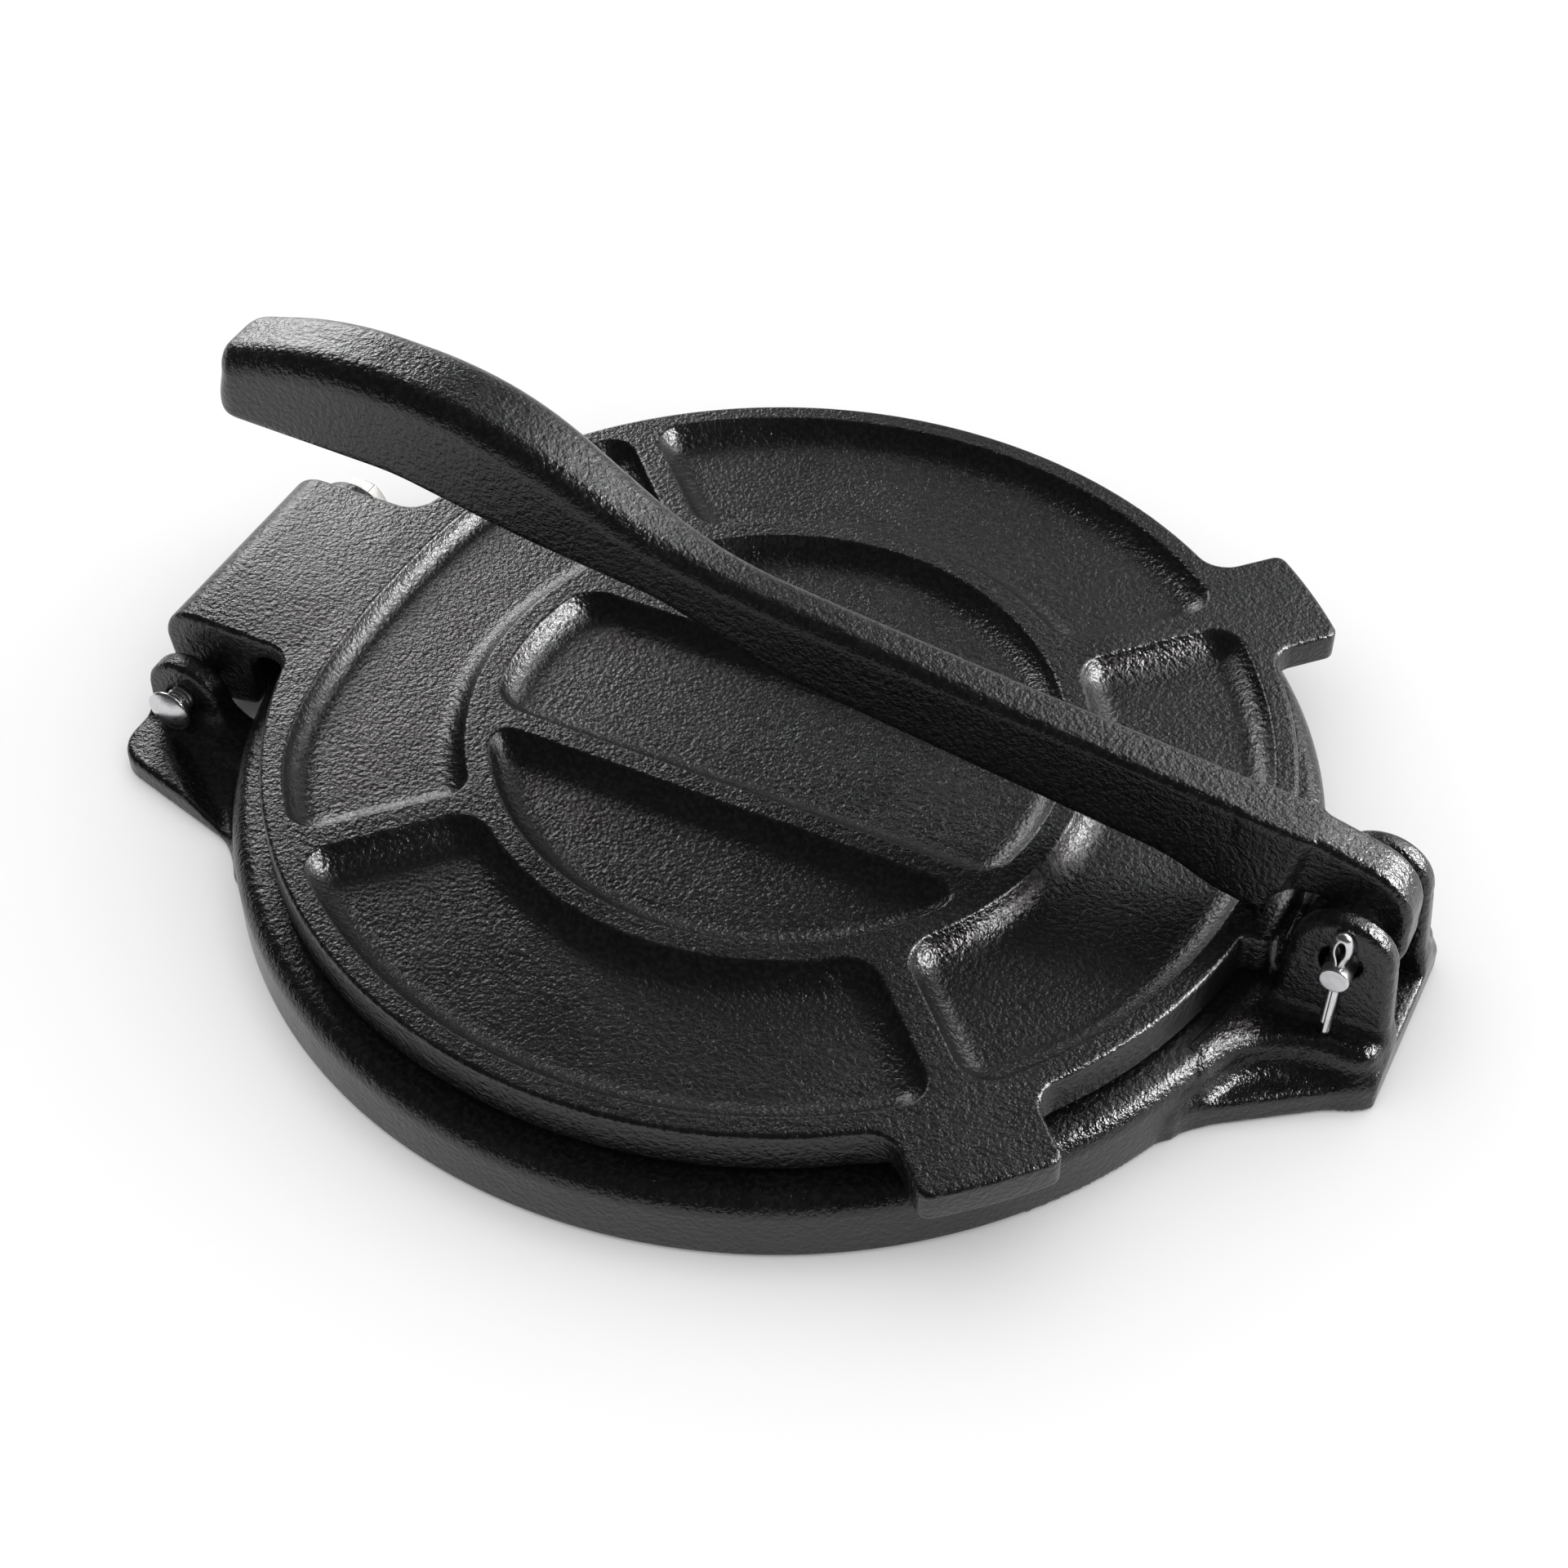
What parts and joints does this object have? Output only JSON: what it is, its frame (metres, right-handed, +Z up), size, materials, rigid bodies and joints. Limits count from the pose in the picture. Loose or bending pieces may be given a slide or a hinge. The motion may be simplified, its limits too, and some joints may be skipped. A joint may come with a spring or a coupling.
{
  "type": "tortilla press",
  "caption": "Round cast iron press with a hinged ribbed top plate, a pivoting pressing lever over it and a bright hinge bolt and lever pin.",
  "frame": {"origin": "on the table plane under the middle of the round plates", "axes": "+Z up, +X from the hinge towards the lever's pivot, +Y away from the side with the bolt head"},
  "size_m": [0.272, 0.2246, 0.0907],
  "materials": {
    "cast_base": "satin black seasoned casting with a fine grain",
    "cast_plate": "satin black seasoned casting with a fine grain",
    "cast_lever": "satin black seasoned casting with a fine grain",
    "bright_bolt": "bright zinc plate",
    "bright_pin": "bright zinc plate"
  },
  "bodies": {
    "base": {"base": "cast_base", "hinge_bolt": "bright_bolt", "hex_nut": "bright_bolt", "lever_pin": "bright_pin", "split_pin": "bright_pin"},
    "top_plate": {"top_plate": "cast_plate"},
    "lever": {"lever": "cast_lever"}
  },
  "joints": [
    {"name": "plate_hinge", "type": "hinge", "parent": "base", "child": "top_plate", "pos_m": [-0.1255, 0, 0.0102], "axis": [0, -1, 0], "range_deg": [0, 100]},
    {"name": "lever_pivot", "type": "hinge", "parent": "base", "child": "lever", "pos_m": [0.1232, 0, 0.0272], "axis": [0, 1, 0], "range_deg": [0, 165]}
  ],
  "couplings": [
    {"joint": "plate_hinge", "follows": "lever_pivot", "ratio": 0.07}
  ]
}
